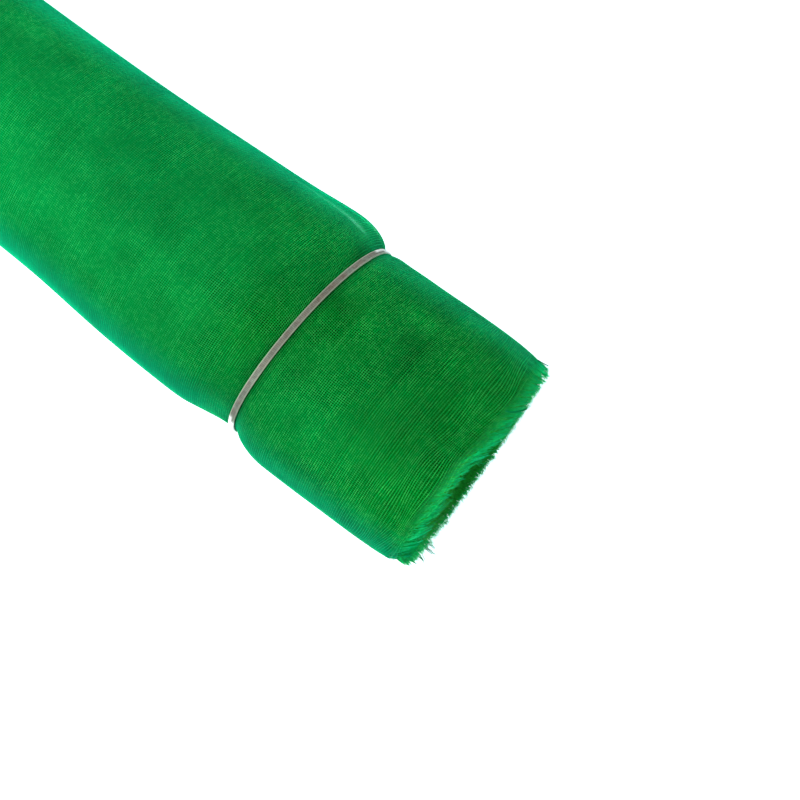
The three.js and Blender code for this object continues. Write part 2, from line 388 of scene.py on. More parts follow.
# Single threads past the end: angle, reach past the tips, and lean outward and sideways
LOOSE_ENDS = np.array([
    (236, 6.0, 1.5, 1.5),
    (233, 4.0, 2.5, -1.0),
    (241, 4.5, 0.5, 1.0),
    (226, 3.5, 1.5, 2.0),
    (215, 2.5, -0.5, 1.0),
    (262, 2.0, 0.5, 0.5),
    (18, 1.5, 1.5, 0.5),
    (70, 2.0, 1.0, -0.5),
])
LOOSE_EACH = 3
LOOSE_RADIUS = 0.27
LOOSE_POINTS = 9
LOOSE_SPREAD = 1.2
LOOSE_SHORTEST = 0.6
LOOSE_SWAY = 0.5
LOOSE_DROOP = 0.5
LOOSE_TONE = 0.4

# The band: its section, its steps round the roll, and its slight waves along it
BAND_WIDTH = 4.2
BAND_THICKNESS = 1.2
BAND_GAP = 0.12
BAND_RIBS = 5
RIB_POINTS = 8
RIB_HEIGHT = 0.09
BAND_CORNER = 0.4
CORNER_ANGLES = np.linspace(80, 0, 5)
BAND_FOOT = 0.2
BAND_STEPS = 240
BAND_WAVE = 0.12
BAND_WAVES = 3
BAND_WAVE_START = 0.7
BAND_FLOOR = 0.3
STITCH_PITCH = 1.3

# Its looks, all painted light: paler on the far side and at one place, and a white highlight on one selvedge
# and all over where it turns under, until it is low
BAND_FAR_PAINTED_LIGHT = 0.58
BAND_FAR_ANGLES = (78, 42)
BAND_PATCH_PAINTED_LIGHT = 0.18
BAND_LIGHT_PATCH = (128, 9)
BAND_LOW_FADE = 0.8
BAND_LOW_ANGLES = (94, 116)
BAND_SIDE_ANGLES = (63, 68)
WRAP_FROM = (68.0, 73.0)
WRAP_OVER = 5.0

# Studio, in metres and watts
FLOOR_HALF = 6.0
FLOOR_COLOUR = (0.6, 0.6, 0.6, 1)
FLOOR_GLOW = (0.7, 0.95, 1.0, 1)
FLOOR_STRENGTH = 1.5
SKY_STRENGTH = 0.25
KEY_LIGHT = dict(place=(0.06, -0.44, 0.85), aim=(0.22, 0.0, 0.1), size=0.4, watts=10.8,
                 colour=(1, 0.99, 0.95))
TOP_LIGHT = dict(place=(0.2, 0.1, 2.0), aim=(0.25, 0.0, 0.05), size=1.6, watts=9.3, colour=(1, 1, 0.98))

# The camera: lens and sensor, the point it looks at past the band, and where it stands from there
LENS = 80.0
SENSOR = 36.0
CAMERA_AIM = (BAND_X + 65, 5, 40)
CAMERA_AZIMUTH = 37.68
CAMERA_ELEVATION = 75.66
CAMERA_DISTANCE = 1.1175

rng = np.random.default_rng(SEED)


def smoothstep(value, low, high):
    """0 up to low and 1 from high, with a smooth rise between. It falls where low is above high."""
    p = np.clip((value - low) / (high - low), 0, 1)
    return p * p * (3 - 2 * p)


def bump(value, middle, width):
    """1 in the middle, falling off smoothly on both sides."""
    return np.exp(-(((value - middle) / width) ** 2))


def spot(along, angle, row):
    """The amount in a row at its place on the roll, falling off smoothly along the roll and round it."""
    at, middle, amount, reach, spread = row
    return amount * bump(along, at, reach) * bump(angle, middle, spread)


def section_at(along):
    """The columns of SECTIONS after the first, at these distances, on a smooth curve through the rows."""
    at, values = SECTIONS[:, 0], SECTIONS[:, 1:]
    along = np.clip(np.asarray(along, float), at[0], at[-1])
    slopes = np.diff(values, axis=0) / np.diff(at)[:, None]
    tangents = np.concatenate([slopes[:1], (slopes[1:] + slopes[:-1]) / 2, slopes[-1:]])
    i = np.clip(np.searchsorted(at, along, side="right") - 1, 0, len(at) - 2)
    step = (at[i + 1] - at[i])[..., None]
    p = ((along - at[i])[..., None]) / step
    found = (
        (2 * p**3 - 3 * p**2 + 1) * values[i]
        + (p**3 - 2 * p**2 + p) * step * tangents[i]
        + (3 * p**2 - 2 * p**3) * values[i + 1]
        + (p**3 - p**2) * step * tangents[i + 1]
    )
    return np.moveaxis(found, -1, 0)


def past_band(along):
    """0 before the band and 1 past it."""
    return smoothstep(along, *PAST_SPAN)


def painted_shade_at(along, angle):
    """Share of its colour that the cloth keeps under painted shade, or more under painted light."""
    kept = 1.0
    for row in PAINTED_SHADES:
        kept = kept * (1 - spot(along, angle, row))
    return kept


def ledge_at(along, angle):
    """1 on the painted highlight along the edge where the outermost turn stands off by the band, and how far
    it does.
    """
    _, far, core, _, _, _ = section_at(along)
    opened = np.clip((far - core) / LEDGE_OPEN, 0, 1)
    opened = opened * smoothstep(along, LEDGE_STOP, LEDGE_STOP - LEDGE_FADE)
    return opened * bump(angle, *LEDGE_LINE), opened


def painted_light_at(along, angle):
    """Share of its colour that the cloth shows: painted shade and light, with more painted light at the far
    rim.
    """
    far_painted_light = FAR_PAINTED_LIGHT * smoothstep(angle, *FAR_ANGLES) * (1 - FAR_PAST * past_band(along))
    line, opened = ledge_at(along, angle)
    # Painted shade just inside the ledge's pale line and painted light just outside it; the line is a
    # painted highlight
    inside = INSIDE_PAINTED_SHADE * bump(angle, *LEDGE_INSIDE)
    outside = OUTSIDE_PAINTED_LIGHT * bump(angle, *LEDGE_OUTSIDE)
    ledge = (1 + LEDGE_PAINTED_HIGHLIGHT * line) * (1 + opened * (outside - inside))
    return painted_shade_at(along, angle) * (1 + far_painted_light) * ledge


def sheen_field(seed):
    """Random strengths on a grid over the whole surface."""
    rows = int(ROLL_LENGTH / SHEEN_PATCH) + 4
    columns = int(SHEEN_DEGREES * SHEEN_MM_PER_DEGREE / SHEEN_PATCH) + 2
    return np.random.default_rng(seed).normal(0, 1, (rows, columns))


def sheen_at(along, angle, field):
    """How much a set of threads catches the light, as painted sheen smoothly between the grid's strengths.
    """
    u = (along - PLAIN_END) / SHEEN_PATCH
    v = (angle - EDGE_ANGLE + 360) * SHEEN_MM_PER_DEGREE / SHEEN_PATCH
    i, j = np.floor(u).astype(int), np.floor(v).astype(int)
    p, q = smoothstep(u - i, 0, 1), smoothstep(v - j, 0, 1)
    low = field[i, j] * (1 - p) + field[i + 1, j] * p
    high = field[i, j + 1] * (1 - p) + field[i + 1, j + 1] * p
    return 1 + SHEEN_SIZE * np.clip(low * (1 - q) + high * q, -SHEEN_LIMIT, SHEEN_LIMIT)


def painted_side_light_at(along, angle):
    """Painted light: 1 on the sides of the roll, where light from the floor comes through the threads, 0 on
    top.
    """
    off_top = np.abs(angle - SIDE_MIDDLE)
    below = SIDE_FADE * smoothstep(off_top, SIDE_LOW, SIDE_LOW + SIDE_FADE_OVER)
    past = np.where(angle < SIDE_MIDDLE, *SIDE_PAST) * past_band(along)
    by_band = SIDE_BY_BAND * bump(along, *BY_BAND)
    return smoothstep(off_top, *SIDE_ANGLES) * (1 - below) * (1 - past) * (1 - by_band)


def slack_at(along, angle):
    """How loosely the outer turns lie on each other, painted as deeper shade: more so towards the frayed
    end.
    """
    slack = smoothstep(along, *SLACK_SPAN)
    for row in SLACK_PLACES:
        slack = slack + spot(along, angle, row)
    return np.clip(slack, 0, 1)


def hollow_depth(along, angle):
    return sum(spot(along, angle, row) for row in HOLLOWS)


def wound(along, around, share=1.0, outward=0.0, lifted=1.0, ledge=1.0):
    """Points of a turn, and its outward directions.

    around runs from 0 at the free edge, over the top, to 1 under it. lifted is 1 on the outermost turn and 0
    on the turns inside it. ledge is 0 where the turn has no free edge.
    """
    along, around = np.broadcast_arrays(np.asarray(along, float), np.asarray(around, float))
    angle = angle_of(around)
    flat_end = np.interp(around, AROUND_AT, AROUND_FLAT)
    lean, far, core, near, top, low = section_at(along)
    far = core + lifted * (far - core)
    loose = smoothstep(np.abs(along), EDGE_PRESSED, EDGE_LOOSE)
    lift = ledge * EDGE_STEP * (1 - around) * loose - hollow_depth(along, angle)
    cos, sin = np.cos(np.radians(angle)), np.sin(np.radians(angle))
    under = sin < -ROUNDING
    waist = low + WAIST_SHARE * (top - low)
    flat = np.where(under, FLAT_HALF, 0.0)
    reach = (far - near) / 2 + lift - flat
    rise = np.where(under, waist - low, top + lift - waist)
    normal = np.stack([np.zeros_like(cos), cos / reach, sin / rise], axis=-1)
    normal /= np.linalg.norm(normal, axis=-1, keepdims=True)
    out_y = flat * flat_end + reach * cos + outward * normal[..., 1]
    out_z = waist + rise * sin + outward * normal[..., 2]
    eye = low + EYE_SHARE * (top - low)
    y = (far + near) / 2 + share * out_y
    x = BAND_X + along + lean * y
    return np.stack([x, y, eye + share * (out_z - eye)], axis=-1), normal


def around_table():
    """Shares of the way round a section against the angle and the place on the flat spot."""
    over = np.arange(EDGE_ANGLE - 360, UNDERSIDE)
    back = np.arange(UNDERSIDE + 1, EDGE_ANGLE)
    angle = np.concatenate([over, np.full(FLAT_POINTS, UNDERSIDE), back, [EDGE_ANGLE - EDGE_GAP_ANGLE]])
    flat = np.where(angle < 0, 1.0, np.where(angle < UNDERSIDE, -1.0, 1.0))
    flat[angle == UNDERSIDE] = np.linspace(-1, 1, FLAT_POINTS)
    cos, sin = np.cos(np.radians(angle)), np.sin(np.radians(angle))
    under = sin < -ROUNDING
    y = np.where(under, FLAT_HALF * flat + (PLAIN_HALF - FLAT_HALF) * cos, PLAIN_HALF * cos)
    z = np.where(under, PLAIN_FALL * sin, PLAIN_RISE * sin)
    run = np.concatenate([[0], np.cumsum(np.hypot(np.diff(y), np.diff(z)))])
    return run / run[-1], angle, flat


AROUND_AT, AROUND_ANGLE, AROUND_FLAT = around_table()


def around_of(angle):
    return np.interp(angle, AROUND_ANGLE, AROUND_AT)


def angle_of(around):
    return np.interp(around, AROUND_AT, AROUND_ANGLE)


def perimeter():
    """The way once round the outermost turn."""
    points, _ = wound(PERIMETER_AT, np.linspace(0, 1, PERIMETER_POINTS))
    return float(np.linalg.norm(np.diff(points, axis=0), axis=1).sum())


PERIMETER = perimeter()


def spaced(spans, end):
    """Places in a row: each span's start, in its number of steps to the next start, and so to the end."""
    stops = [start for start, _ in spans[1:]] + [end]
    parts = [np.linspace(start, stop, steps, endpoint=False) for (start, steps), stop in zip(spans, stops)]
    return np.concatenate([*parts, [end]])


# Places along and round the roll at which threads have points: closest by the band, and fewest low down
LAST_STATION = FRAY_END - 14
STATIONS = spaced([(PLAIN_END, 30), (-170, 14), (-48, 10), (-12, 10), (12, 8), (44, 6)], LAST_STATION)
ROUND_SPOTS = spaced([(0, 36), (around_of(195), 4), (around_of(255), 5)], 1)


def placed(name, data):
    """A new object in the scene."""
    obj = bpy.data.objects.new(name, data)
    bpy.context.scene.collection.objects.link(obj)
    return obj


def mesh_object(name, points, faces, material, slot, **layers):
    """A smooth mesh on the roll's body, from points in millimetres and arrays of faces."""
    mesh = bpy.data.meshes.new(name)
    sizes = np.concatenate([np.full(len(f), f.shape[1]) for f in faces])
    mesh.vertices.add(len(points))
    mesh.vertices.foreach_set("co", (points * MM).astype(np.float32).ravel())
    mesh.loops.add(int(sizes.sum()))
    corners = np.concatenate([f.ravel() for f in faces])
    mesh.loops.foreach_set("vertex_index", corners.astype(np.int32))
    mesh.polygons.add(len(sizes))
    starts = np.cumsum(sizes) - sizes
    mesh.polygons.foreach_set("loop_start", starts.astype(np.int32))
    mesh.polygons.foreach_set("use_smooth", np.ones(len(sizes), bool))
    mesh.update(calc_edges=True)
    mesh.materials.append(material)
    for title, values in layers.items():
        layer = mesh.attributes.new(title, "FLOAT", "POINT")
        layer.data.foreach_set("value", np.asarray(values, np.float32).ravel())
    obj = placed(name, mesh)
    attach(obj, "root")
    return obj


def thread_mesh(lines, outward, radius):
    """Points and faces of three-sided threads along lines, which is threads by points by 3."""
    count, steps, _ = lines.shape
    ahead = np.gradient(lines, axis=1)
    ahead /= np.linalg.norm(ahead, axis=-1, keepdims=True)
    side = np.cross(ahead, outward)
    side /= np.linalg.norm(side, axis=-1, keepdims=True)
    up = np.cross(side, ahead)
    turn = np.radians(90 + 360 / THREAD_CORNERS * np.arange(THREAD_CORNERS))[:, None]
    radius = np.broadcast_to(radius, (count, steps))[:, :, None, None]
    rings = lines[:, :, None] + radius * (np.cos(turn) * side[:, :, None] + np.sin(turn) * up[:, :, None])
    index = np.arange(count * steps * THREAD_CORNERS).reshape(count, steps, THREAD_CORNERS)
    a, b = index[:, :-1], index[:, 1:]
    quads = np.stack([a, b, np.roll(b, -1, axis=2), np.roll(a, -1, axis=2)], axis=-1).reshape(-1, 4)
    caps = np.concatenate([index[:, 0], index[:, -1][:, ::-1]])
    return rings.reshape(-1, 3), [quads, caps]


def thread_object(name, made, material, slot, **layers):
    """A mesh of threads, with layers that have one value for each point of the lines."""
    each = {title: np.repeat(values, THREAD_CORNERS, axis=1) for title, values in layers.items()}
    return mesh_object(name, *made, material, slot, **each)


def sheet_mesh(points):
    """Points and faces of a sheet, from its rows of points."""
    index = np.arange(points.size // 3).reshape(points.shape[:2])
    a, b, c, d = index[:-1, :-1], index[1:, :-1], index[1:, 1:], index[:-1, 1:]
    return points.reshape(-1, 3), [np.stack([d, c, b, a], axis=-1).reshape(-1, 4)]


def set_map(obj, name, u, v):
    """A UV map from one u and v for each point."""
    layer = obj.data.uv_layers.new(name=name)
    corner = np.zeros(len(obj.data.loops), np.int32)
    obj.data.loops.foreach_get("vertex_index", corner)
    uv = np.stack([u, v], axis=-1)[corner]
    layer.data.foreach_set("uv", uv.astype(np.float32).ravel())


class Nodes:
    """A material's node tree, with its Principled shader."""

    def __init__(self, name, **values):
        self.material = bpy.data.materials.new(name)
        self.material.use_nodes = True
        self.tree = self.material.node_tree
        self.shader = self.tree.nodes["Principled BSDF"]
        for socket, value in values.items():
            self.shader.inputs[socket.replace("_", " ")].default_value = value

    def add(self, kind, inputs=(), **settings):
        node = self.tree.nodes.new("ShaderNode" + kind)
        for name, value in settings.items():
            setattr(node, name, value)
        for socket, value in dict(inputs).items():
            self.put(node.inputs[socket], value)
        return node

    def put(self, socket, value):
        if isinstance(value, bpy.types.NodeSocket):
            self.tree.links.new(value, socket)
        else:
            socket.default_value = value

    def colour(self, value):
        self.put(self.shader.inputs["Base Color"], value)

    def bump(self, height, strength, distance):
        node = self.add("Bump", {"Strength": strength, "Distance": distance, "Height": height})
        self.put(self.shader.inputs["Normal"], node.outputs[0])

    def math(self, operation, *values):
        return self.add("Math", enumerate(values), operation=operation).outputs[0]

    def mix(self, share, first, second, **settings):
        node = self.add("Mix", data_type="RGBA", **settings)
        self.put(node.inputs["Factor"], share)
        self.put(node.inputs[6], first)
        self.put(node.inputs[7], second)
        return node.outputs[2]

    def toned(self, colour):
        """The colour times the mesh's own tone, which also holds painted light and shade."""
        return self.mix(1.0, colour, self.layer("tone"), blend_type="MULTIPLY")

    def layer(self, name):
        return self.add("Attribute", attribute_name=name).outputs["Fac"]

    def noise(self, scale, detail):
        place = self.add("TexCoord").outputs["Object"]
        return self.add("TexNoise", {"Scale": scale, "Detail": detail, "Vector": place}).outputs["Fac"]

    def ramp(self, value, low, high):
        node = self.add("MapRange", {"Value": value, "From Min": low, "From Max": high})
        return node.outputs["Result"]


def thread_material():
    """Plastic thread: green, with painted glints along it, slow changes of shade over the cloth and painted
    light.
    """
    n = Nodes("mesh_thread", Roughness=0.5, Specular_IOR_Level=0.01)
    patches = n.ramp(n.noise(scale=14.0, detail=3.0), 0.35, 0.65)
    # Painted glints: paler, yellower spots where the lamps' highlights would fall
    painted_glints = n.ramp(n.noise(scale=450.0, detail=3.0), 0.40, 0.72)
    slack = n.layer("slack")
    taut_green = n.mix(patches, (0.0, 0.39, 0.09, 1), (0.0, 0.44, 0.11, 1))
    slack_green = n.mix(patches, (0.0, 0.45, 0.066, 1), (0.0, 0.50, 0.084, 1))
    painted_glint = n.mix(slack, (0.04, 0.58, 0.15, 1), (0.06, 0.68, 0.14, 1))
    green = n.mix(painted_glints, n.mix(slack, taut_green, slack_green), painted_glint)
    # Painted light: a paler teal on the sides for light from the floor, then the tone's painted light and
    # shade
    n.colour(n.toned(n.mix(n.layer("side"), green, (0.0, 0.475, 0.212, 1))))
    return n.material


def fray_material():
    """Loose thread ends: glossier than the cloth, and painted a paler teal where light from the floor comes
    through.
    """
    n = Nodes("frayed_thread", Roughness=0.45, Specular_IOR_Level=0.03)
    flecks = n.ramp(n.noise(scale=600.0, detail=2.0), 0.3, 0.7)
    deep = n.mix(flecks, (0.02, 0.34, 0.012, 1), (0.02, 0.44, 0.03, 1))
    pale = n.mix(flecks, (0.001, 0.48, 0.13, 1), (0.002, 0.62, 0.20, 1))
    n.colour(n.toned(n.mix(n.layer("side"), deep, pale)))
    return n.material


def weave_mask(n, place):
    """1 on the threads of a woven layer and 0 in its gaps."""
    split = n.add("SeparateXYZ", {0: place})
    masks = []
    for axis in ("X", "Y"):
        beat = n.math("FRACT", n.math("MULTIPLY", split.outputs[axis], 1 / (PITCH * MM)))
        away = n.math("ABSOLUTE", n.math("SUBTRACT", beat, 0.5))
        masks.append(n.ramp(away, 0.16, 0.06))
    return n.math("MAXIMUM", *masks)


def drifting(n, uv, scale, size, start):
    """The map moved by slow drifts of up to about half of size."""
    place = n.add("VectorMath", {0: uv, 1: start}, operation="ADD").outputs[0]
    drift = n.add("TexNoise", {"Vector": place, "Scale": scale, "Detail": 2.0}).outputs["Color"]
    moved = n.add("VectorMath", {0: drift, 1: (size, size, 0.0)}, operation="MULTIPLY").outputs[0]
    return n.add("VectorMath", {0: uv, 1: moved}, operation="ADD").outputs[0]


def cloth_material():
    """The turns under the outermost one: a painted weave over another, deepest in the gaps of both."""
    n = Nodes("mesh_layer", Roughness=0.6, Specular_IOR_Level=0.01)
    uv = n.add("UVMap", uv_map="Weave").outputs[0]
    first = weave_mask(n, drifting(n, uv, scale=26.0, size=0.0036, start=(0.0, 0.0, 0.0)))
    second = weave_mask(n, drifting(n, uv, scale=31.0, size=0.0036, start=(3.1, 1.7, 0.0)))
    slack = n.layer("slack")
    # Slack is painted as deeper shade in the gaps and on the painted threads
    deep = n.mix(slack, (0.0, 0.17, 0.026, 1), (0.0, 0.02, 0.0, 1))
    under = n.mix(slack, (0.0, 0.24, 0.042, 1), (0.0, 0.08, 0.004, 1))
    over = n.mix(slack, (0.0, 0.31, 0.058, 1), (0.0, 0.19, 0.014, 1))
    # Painted light: a paler teal on the sides, for light from the floor through the threads
    side = n.mix(slack, (0.001, 0.27, 0.12, 1), (0.001, 0.14, 0.066, 1))
    green = n.mix(first, n.mix(second, deep, under), over)
    seen = n.toned(n.mix(n.layer("side"), green, side))
    # A painted highlight: the pale line along the ledge
    n.colour(n.mix(n.layer("ledge"), seen, (0.26, 1.0, 0.72, 1)))
    n.bump(first, strength=0.6, distance=0.0002)
    return n.material


def turns_material():
    """The turns inside: deep green, and painted paler where the outermost of them shows at a side, as if
    lit.
    """
    n = Nodes("mesh_turns", Roughness=0.7, Specular_IOR_Level=0.03)
    shade = n.ramp(n.noise(scale=260.0, detail=3.0), 0.3, 0.7)
    green = n.mix(shade, (0.006, 0.15, 0.004, 1), (0.004, 0.28, 0.014, 1))
    n.colour(n.toned(n.mix(n.layer("side"), green, (0.001, 0.22, 0.10, 1))))
    return n.material


def elastic_material():
    """Mottled grey elastic with fine stitches, and painted highlights at its selvedges and where it turns
    under.
    """
    n = Nodes("grey_elastic", Roughness=0.8, Specular_IOR_Level=0.2)
    uv = n.add("UVMap", uv_map="Weave").outputs[0]
    split = n.add("SeparateXYZ", {0: uv})
    stitch = n.math("SINE", n.math("MULTIPLY", split.outputs["X"], 2 * math.pi / (STITCH_PITCH * MM)))
    stain = n.ramp(n.noise(scale=420.0, detail=4.0), 0.3, 0.7)
    tint = n.ramp(n.noise(scale=110.0, detail=2.0), 0.4, 0.6)
    # Painted highlight: paler along both edges
    edge = n.ramp(n.math("ABSOLUTE", split.outputs["Y"]), 0.0012, 0.0020)
    brown = n.mix(stain, (0.13, 0.102, 0.084, 1), (0.22, 0.205, 0.17, 1))
    grey = n.mix(stain, (0.12, 0.132, 0.112, 1), (0.215, 0.255, 0.21, 1))
    woven = n.mix(n.ramp(stitch, -1.5, 3.5), n.mix(tint, brown, grey), (0.06, 0.06, 0.05, 1))
    band_with_painted_light = n.toned(n.mix(edge, woven, (0.29, 0.33, 0.26, 1)))
    # Painted white highlight on one selvedge at the sides, and all over where the band turns under
    selvedge_highlight = n.math("MULTIPLY", n.layer("side"), n.ramp(split.outputs["Y"], 0.0006, -0.0006))
    paler = n.math("MAXIMUM", selvedge_highlight, n.layer("wrap_highlight"))
    n.colour(n.mix(paler, band_with_painted_light, (0.92, 0.93, 0.91, 1)))
    n.bump(stitch, strength=0.5, distance=0.0001)
    return n.material


def edge_waves(turn, angle, size):
    """How far the cut edge of a turn stands out of line."""
    total = 0.0
    for order, phase, drift in EDGE_WAVES:
        total = total + np.sin(order * np.radians(angle) + phase + drift * turn) / order
    return size * total


def cloth_end(angle):
    return np.interp(angle, END_ROWS[:, 0], END_ROWS[:, 1])


def tips_end(angle):
    return np.interp(angle, END_ROWS[:, 0], END_ROWS[:, 2])


def tips_lean(angle):
    return np.interp(angle, END_ROWS[:, 0], END_ROWS[:, 3])


def net_end(angle):
    """Where the outermost turn's weave stops."""
    notch = NOTCH_DEPTH * bump(angle, *NOTCH)
    return cloth_end(angle) - notch + edge_waves(0, angle, OUTER_WAVE)


def near_cut(along, length):
    """0 up to this length before the cut and 1 at the cut."""
    return smoothstep(along, FRAY_END - length, FRAY_END)


def wander(table, along, around):
    turn = 2 * math.pi * around
    return sum(size * np.sin(order * turn + along / run + start) for size, order, run, start in table)


def thread_wander(along, around):
    """How far a thread round the roll strays along it, more so near the cut."""
    loose = near_cut(along, CUT_WANDER_LENGTH) * wander(CUT_WANDER, along, around)
    return wander(WANDER, along, around) + loose


def fanned(along, angle):
    """The place of a thread round the roll, spread to follow the slant of the cut edge."""
    return along + near_cut(along, FAN_LENGTH) * (cloth_end(angle) - FRAY_END)


def soft_random(count, width, size):
    """Random values in a row, alike over about width neighbours."""
    raw = rng.normal(0, 1, count + 6 * width)
    kernel = np.hanning(2 * width + 1)
    return size * np.convolve(raw, kernel / np.linalg.norm(kernel), mode="same")[3 * width:3 * width + count]


def round_spans(along):
    """Where threads round the roll begin and end: near the cut some begin late, and some are frayed out."""
    starts, ends = np.zeros(len(along)), np.ones(len(along))
    angle = angle_of(CHECKED_SPOTS)
    limits = net_end(angle)
    for k in np.flatnonzero(along > FRAY_END - CHECKED_LENGTH):
        allowed = CHECKED_SPOTS[limits >= fanned(along[k], angle)]
        starts[k] = allowed[0] if len(allowed) else FRAYED_FROM
    frayed_out = np.flatnonzero(along > FRAY_END - FRAYED_LENGTH)
    late = rng.uniform(0, FRAYED_START, len(frayed_out))
    starts[frayed_out] = np.maximum(starts[frayed_out], FRAYED_FROM) + late
    ends[frayed_out] -= rng.uniform(*FRAYED_ENDS, len(frayed_out))
    return starts[:, None], ends[:, None]


def round_threads(material):
    """The threads round the roll in its outermost turn."""
    count = int((FRAY_END - PLAIN_END) / PITCH) + STRAY_TURNS
    along = PLAIN_END + PITCH * (np.arange(count) + 0.5) + rng.normal(0, ROUND_RANDOM, count)
    along = along + soft_random(count, *ROUND_DRIFT)
    starts, ends = round_spans(along)
    spots = starts + ROUND_SPOTS * (ends - starts)
    angle = angle_of(spots)
    at = fanned(along[:, None], angle) + thread_wander(along[:, None], spots)
    lines, normals = wound(at, spots, outward=-ROUND_DEPTH)
    slack, side = slack_at(at, angle), painted_side_light_at(at, angle)
    # Painted shade and light of the cloth's places and painted sheen, times a random shine of each thread
    tone = painted_light_at(at, angle) * sheen_at(at, angle, sheen_field(ROUND_SHEEN_SEED))
    tone = tone * (1 + rng.normal(0, ROUND_SHINE, count))[:, None] * (1 + ROUND_BRIGHT * slack)
    made = thread_mesh(lines, normals, ROUND_RADIUS)
    return thread_object("weave_round", made, material, "mesh", tone=tone, side=side, slack=slack)


def tufts(count, size):
    """For neighbouring threads in tufts of about size: a shared random length, outward and sideways lean,
    and each thread's way to the middle of its tuft."""
    group = np.cumsum(rng.random(count) < 1 / size)
    members = np.maximum(np.bincount(group), 1)
    middle = np.bincount(group, np.arange(count)) / members
    long, out, aside = rng.normal(0, 1, (3, len(members)))[:, group]
    return dict(long=long, out=out, aside=aside, pull=(middle[group] - np.arange(count)) * PITCH)


def bend_at(reach):
    """How much of its bend a thread has at a reach past the cloth."""
    return (reach / BEND_REACH) ** BEND_POWER


def frayed(lines, normals, reach, flare, sway, droop):
    """The lines bent outward, sideways and down past the cloth's edge, by the reach of each point."""
    bend = bend_at(reach)
    tangent = np.cross(np.array([1.0, 0, 0]), normals)
    aside = bend * sway[:, None]
    down = np.array([0.0, 0.0, -1.0])
    bent = lines + (bend * flare[:, None])[..., None] * normals + aside[..., None] * tangent
    bent = bent + (bend * droop)[..., None] * down
    bent[..., 2] = np.maximum(bent[..., 2], FLOOR_GAP)
    return bent


def tufted(lines, normals, reach, lean, tuft, fray):
    """The lines frayed in their tufts, as threads of a kind are."""
    flare = lean + fray["flare"] * tuft["out"]
    sway = fray["sway"] * tuft["aside"] + fray["pull"] * tuft["pull"]
    return frayed(lines, normals, reach, flare, sway, fray["droop"])


def swept(reach, angle, aside):
    """How far towards the far side the loose threads are combed, as a share of the way round the roll."""
    on_top = smoothstep(angle, *SWEEP_FAR) * smoothstep(angle, *SWEEP_NEAR)
    amount = on_top * np.clip(1 + SWEEP_RANDOM * aside, *SWEEP_LIMITS)
    return -SWEEP / PERIMETER * amount[:, None] * bend_at(reach)


def along_threads(material):
    """The lengthwise threads of the outermost turn, which run on past its edge as a fringe."""
    count = int(PERIMETER / PITCH)
    around = (np.arange(count) + 0.5) / count
    angle = angle_of(around)
    across = angle[:, None]
    edge = net_end(angle)
    tuft = tufts(count, ALONG_FRAY["tuft"])
    uneven = ALONG_TIP_TUFT * tuft["long"] + rng.normal(*ALONG_TIP, count)
    tips = np.maximum(tips_end(angle) + uneven, edge + TIP_LEAST)
    tails = LAST_STATION + (tips - LAST_STATION)[:, None] * np.linspace(0, 1, TAIL_POINTS + 1)[1:]
    along = np.concatenate([np.broadcast_to(STATIONS, (count, len(STATIONS))), tails], axis=1)
    stray = sum(size * np.sin(along / run + turns * around[:, None]) for size, run, turns in ALONG_STRAY)
    loose_stray = soft_random(count, *CUT_STRAY)[:, None]
    stray = stray + near_cut(along, CUT_STRAY_LENGTH) * loose_stray
    reach = np.clip(along - edge[:, None], 0, None)
    spots = np.clip(around[:, None] + stray + swept(reach, angle, tuft["aside"]), 0, 1)
    lines, normals = wound(along, spots, outward=-ALONG_DEPTH)
    lines = tufted(lines, normals, reach, tips_lean(angle), tuft, ALONG_FRAY)
    # Past the cloth the fringe gets painted light, paler, and the painted side light
    fringe_light_and_tone = FRINGE_PAINTED_LIGHT + rng.normal(0, FRINGE_RANDOM, count).clip(*FRINGE_LIMITS)
    loose = smoothstep(reach, 0, FRINGE_LENGTH)
    slack = slack_at(along, across)
    side = np.maximum(painted_side_light_at(along, across), FRINGE_SIDE * loose)
    tone = painted_light_at(along, across) * sheen_at(along, across, sheen_field(ALONG_SHEEN_SEED))
    tone = tone * (1 + loose * (fringe_light_and_tone[:, None] - 1)) * (1 - ALONG_DULL * slack * (1 - loose))
    made = thread_mesh(lines, normals, ALONG_RADIUS)
    return thread_object("weave_along", made, material, "mesh", tone=tone, side=side, slack=slack)


def second_turn(material):
    """The turn under the outermost one, as one sheet."""
    spots = np.unique(np.concatenate([np.linspace(0, 1, UNDER_POINTS), around_of(LEDGE_FINE)]))
    angle = angle_of(spots)
    rows = np.empty((len(STATIONS) + 2, len(spots)))
    rows[:-2] = STATIONS[:, None]
    rows[-1] = cloth_end(angle) - UNDER_INSIDE + edge_waves(1, angle, UNDER_WAVE)
    rows[-2] = (rows[-3] + rows[-1]) / 2
    depth = UNDER_DEPTH + FLAP_LIFT * (1 - smoothstep(spots, 0, FLAP_SHARE))
    lifted = LEDGE_LIFT * smoothstep(angle, *LEDGE_RISE)
    points, _ = wound(rows, spots[None], outward=-depth[None], lifted=lifted[None])
    # A painted highlight line along the ledge, and painted shade on the strip under it
    line, opened = ledge_at(rows, angle[None])
    strip_painted_shade = LEDGE_PAINTED_SHADE * smoothstep(angle, *LEDGE_STRIP)
    tone = painted_light_at(rows, angle[None]) * (1 - opened * strip_painted_shade[None])
    looks = dict(tone=tone, side=painted_side_light_at(rows, angle[None]), slack=slack_at(rows, angle[None]), ledge=line)
    obj = mesh_object("second_turn", *sheet_mesh(points), material, "mesh", **looks)
    length = np.broadcast_to(spots[None] * PERIMETER * MM, rows.shape).ravel()
    set_map(obj, "Weave", rows.ravel() * MM, length)
    span = END_ROWS[:, 1].max() + MAP_MARGIN - PLAIN_END
    set_map(obj, "OFBake", (rows.ravel() - PLAIN_END) / span, length / (PERIMETER * MM))
    return obj


